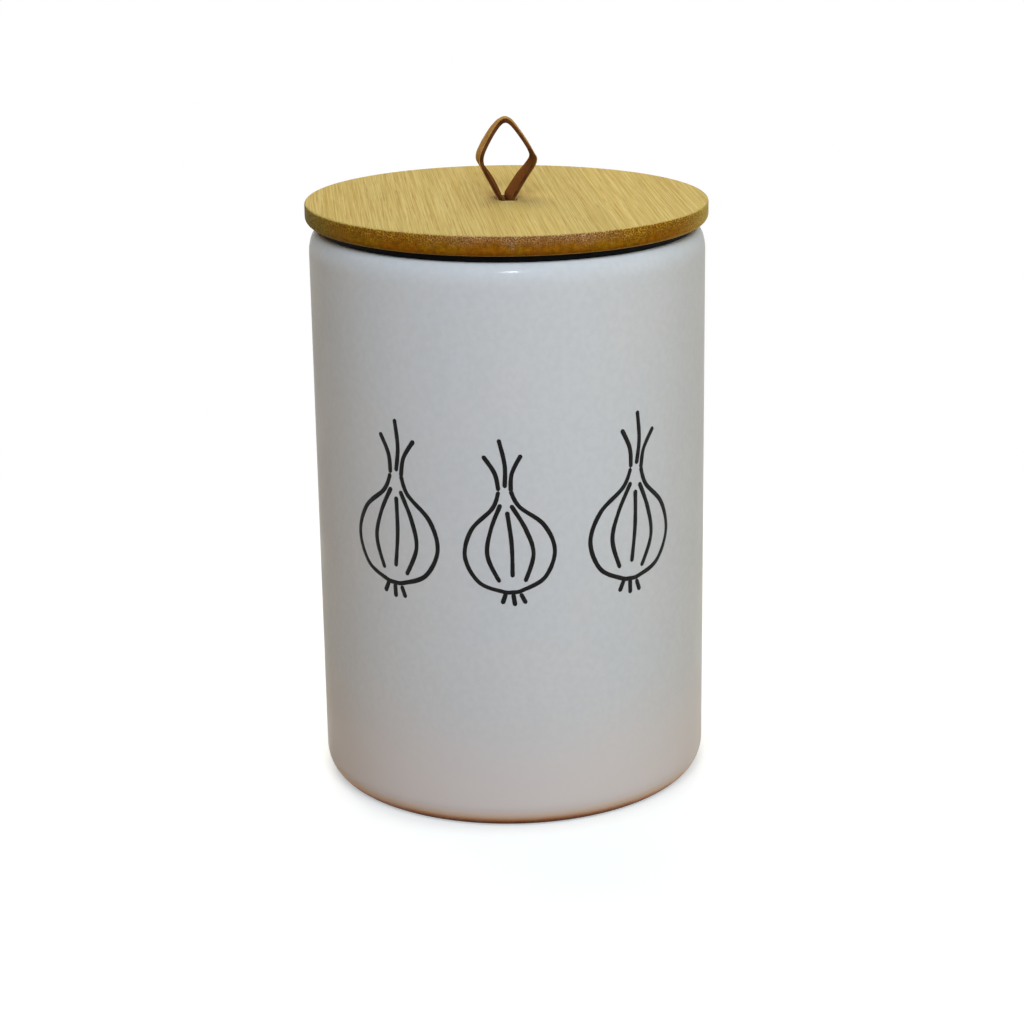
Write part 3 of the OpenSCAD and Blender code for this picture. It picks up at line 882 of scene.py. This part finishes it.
def painted_row_tree():
    """Draws the host's edges as pen lines, repeats them in a row and wraps the row round a jar."""
    tree, given = new_tree(
        "painted_row", Count=("Int", 3), Pitch=("Float", 0.04), Line=("Float", 0.0015),
        Lift=("Float", 0.0001), Radius=("Float", 0.07), Foot=("Float", 0.09),
        Turn=("Float", 0.0), Seed=("Int", 4), Finish=("Material", None),
    )
    strokes = add(tree, "GeometryNodeMeshToCurve", {0: given["Geometry"]}).outputs[0]
    strokes = add(tree, "GeometryNodeCurveSplineType", {0: strokes}, spline_type="CATMULL_ROM").outputs[0]
    strokes = add(tree, "GeometryNodeSetSplineResolution", {0: strokes, "Resolution": 10}).outputs[0]
    even = {0: strokes, "Length": painted_step}
    strokes = add(tree, "GeometryNodeResampleCurve", even, mode="LENGTH").outputs[0]
    run = add(tree, "GeometryNodeSplineParameter").outputs["Length"]
    whole = add(tree, "GeometryNodeSplineLength").outputs["Length"]
    half_line = maths(tree, "MULTIPLY", given["Line"], 0.5)
    to_end = maths(tree, "MINIMUM", run, maths(tree, "SUBTRACT", whole, run))
    from_end = maths(tree, "MINIMUM", maths(tree, "DIVIDE", to_end, half_line), 1.0)
    open_share = maths(tree, "SUBTRACT", 1.0, from_end)
    squared = maths(tree, "MULTIPLY", open_share, open_share)
    round_end = maths(tree, "SQRT", maths(tree, "SUBTRACT", 1.02, squared))
    spot = add(tree, "GeometryNodeInputPosition").outputs[0]
    sway = fade(tree, noise(tree, spot, 110.0), 0.3, 0.7, 0.9, 1.08)
    nib = {"Resolution": pen_sides, "Radius": half_line}
    pen = add(tree, "GeometryNodeCurvePrimitiveCircle", nib).outputs["Curve"]
    pressed = maths(tree, "MULTIPLY", round_end, sway)
    drawn = {0: strokes, 1: pen, "Scale": pressed, "Fill Caps": True}
    lines = add(tree, "GeometryNodeCurveToMesh", drawn).outputs[0]
    start = maths(tree, "MULTIPLY", maths(tree, "SUBTRACT", given["Count"], 1), -0.5)
    first_x = maths(tree, "MULTIPLY", start, given["Pitch"])
    first = add(tree, "ShaderNodeCombineXYZ", {0: first_x}).outputs[0]
    pace = add(tree, "ShaderNodeCombineXYZ", {0: given["Pitch"]}).outputs[0]
    row = add(tree, "GeometryNodeMeshLine", {0: given["Count"], 2: first, 3: pace}).outputs[0]
    tilt = chance(tree, -painted_tilt, painted_tilt, given["Seed"])
    growth = chance(tree, 0.95, 1.08, given["Seed"])
    turn = add(tree, "ShaderNodeCombineXYZ", {1: tilt}).outputs[0]
    placed = {"Points": row, "Instance": lines, "Rotation": turn, "Scale": growth}
    repeated = add(tree, "GeometryNodeInstanceOnPoints", placed).outputs[0]
    real = add(tree, "GeometryNodeRealizeInstances", {0: repeated}).outputs[0]
    flat = add(tree, "ShaderNodeSeparateXYZ", {0: spot})
    angle = maths(tree, "ADD", given["Turn"], maths(tree, "DIVIDE", flat.outputs["X"], given["Radius"]))
    press = maths(tree, "DIVIDE", given["Lift"], half_line)
    reach = maths(tree, "SUBTRACT", given["Radius"], maths(tree, "MULTIPLY", flat.outputs["Y"], press))
    x = maths(tree, "MULTIPLY", reach, maths(tree, "SINE", angle))
    y = maths(tree, "MULTIPLY", reach, maths(tree, "MULTIPLY", maths(tree, "COSINE", angle), -1.0))
    z = maths(tree, "ADD", flat.outputs["Z"], given["Foot"])
    there = add(tree, "ShaderNodeCombineXYZ", {0: x, 1: y, 2: z}).outputs[0]
    wrapped = add(tree, "GeometryNodeSetPosition", {0: real, "Position": there}).outputs[0]
    end_tree(tree, wrapped, given["Finish"])
    return tree


def make_painted_row():
    """The painted row of onions on the front of the jar."""
    points = []
    edges = []
    for stroke in onion_strokes():
        first = len(points)
        points += [(x * mm, 0, z * mm) for x, z in stroke]
        edges += [(i, i + 1) for i in range(first, len(points) - 1)]
    host = bpy.data.meshes.new("painted_onions")
    host.from_pydata(points, edges, [])
    piece = grown(
        "painted_onions", host, painted_row_tree(), Count=painted_count, Pitch=painted_pitch,
        Line=painted_line, Lift=painted_lift, Radius=jar_r, Foot=painted_foot_z, Turn=painted_turn,
        Finish=paint,
    )
    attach(piece, "jar")


# Studio


def soft_lamp(name, place, target, w, h, watts, tint):
    """A flat rectangular lamp that faces its target."""
    lamp_data = bpy.data.lights.new(name, "AREA")
    lamp_data.shape = "RECTANGLE"
    lamp_data.size = w
    lamp_data.size_y = h
    lamp_data.energy = watts
    lamp_data.color = tint
    lamp = new_piece(name, lamp_data)
    lamp.location = place
    lamp.rotation_euler = (Vector(target) - Vector(place)).to_track_quat("-Z", "Y").to_euler()
    return lamp


def seen_directly(tree):
    """1 for rays from the camera, a reflection or clear glass, 0 for light that falls on the object."""
    path = add(tree, "ShaderNodeLightPath").outputs
    seen = maths(tree, "MAXIMUM", path["Is Camera Ray"], path["Is Glossy Ray"])
    return maths(tree, "MAXIMUM", seen, path["Is Transmission Ray"])


def make_floor():
    """A wide pale floor with the object's shadow. Seen directly it is lifted to white, far away wholly."""
    half = 4.0
    near_r = 0.16
    far_r = 0.5
    near_lift = 0.42
    mesh = bpy.data.meshes.new("floor")
    corners = [(-half, -half, 0), (half, -half, 0), (half, half, 0), (-half, half, 0)]
    mesh.from_pydata(corners, [], [(0, 1, 2, 3)])
    finish, tree, shader, place = new_finish("pale_floor")
    seen = seen_directly(tree)
    point = place.outputs["Object"]
    away = add(tree, "ShaderNodeVectorMath", {0: point}, operation="LENGTH").outputs["Value"]
    far = maths(tree, "MULTIPLY", seen, fade(tree, away, near_r, far_r))
    paint_seen = mixed(tree, seen, colour(0.410, 0.210, 0.066), colour(0.78, 0.78, 0.78))
    tree.links.new(mixed(tree, far, paint_seen, colour(0.0, 0.0, 0.0)), shader.inputs["Base Color"])
    shader.inputs["Roughness"].default_value = 0.9
    shader.inputs["Specular IOR Level"].default_value = 0.0
    shader.inputs["Emission Color"].default_value = colour(1.0, 1.0, 1.0)
    lift = maths(tree, "MULTIPLY_ADD", far, 1 - near_lift, maths(tree, "MULTIPLY", seen, near_lift))
    tree.links.new(lift, shader.inputs["Emission Strength"])
    mesh.materials.append(finish)
    new_piece("floor", mesh)


def make_world():
    """Soft light from all round, and a white background where it is seen directly."""
    world = bpy.data.worlds.new("studio")
    bpy.context.scene.world = world
    world.use_nodes = True
    tree = world.node_tree
    shader = tree.nodes["Background"]
    light = mixed(tree, seen_directly(tree), colour(0.122, 0.129, 0.094), colour(1.0, 1.0, 1.0))
    tree.links.new(light, shader.inputs["Color"])
    shader.inputs["Strength"].default_value = 1.0


def make_camera():
    """The photograph's camera, whose optical axis lies to the right of the picture's middle."""
    data = bpy.data.cameras.new("camera")
    data.sensor_width = sensor_w
    data.lens = focal_px / photo_px * sensor_w
    data.shift_x = 0.5 - optical_axis_px / photo_px
    camera = new_piece("camera", data)
    camera.location = (
        -camera_reach * math.sin(camera_round), -camera_reach * math.cos(camera_round), camera_h
    )
    camera.rotation_euler = (math.pi / 2 - camera_pitch, 0, -camera_yaw - camera_round)
    bpy.context.scene.camera = camera


def make_lights():
    """A soft lamp in front with a narrow strip for its glint, and lamps at the right, above and behind."""
    middle = (0, 0, 0.13)
    front = (-0.08, -1.45, 1.20)
    cool = (0.82, 0.91, 1.0)
    soft_lamp("front_lamp", front, middle, 1.1, 0.8, 26.8, cool).visible_glossy = False
    soft_lamp("front_strip", front, middle, 0.30, 0.06, 22.0, cool).visible_diffuse = False
    soft_lamp("right_lamp", (1.65, -0.45, 0.60), middle, 0.9, 0.9, 8.4, (0.95, 1.0, 0.91))
    soft_lamp("top_lamp", (-0.10, 0.62, 1.05), middle, 1.0, 1.0, 8.0, (1.0, 0.96, 0.79))
    back = soft_lamp("back_lamp", (0.0, 1.8, 0.11), (0, 0, 0.11), 1.2, 0.2, 18.5, (0.88, 0.94, 1.0))
    back.visible_glossy = False


# The finished scene

bpy.context.scene.view_settings.view_transform = "Standard"
make_camera()
make_world()
make_floor()
make_lights()

glaze = satin_glaze()
paint = black_paint()
bamboo = oiled_bamboo()
silicone = black_silicone()
leather = strap_leather()
steel = plated_steel()
turn_profile = turned_tree()
set_in_pairs = pair_tree()

make_jar()
make_painted_row()
make_board()
make_plug()
make_seal()
make_strap()
make_screws()
make_washers()
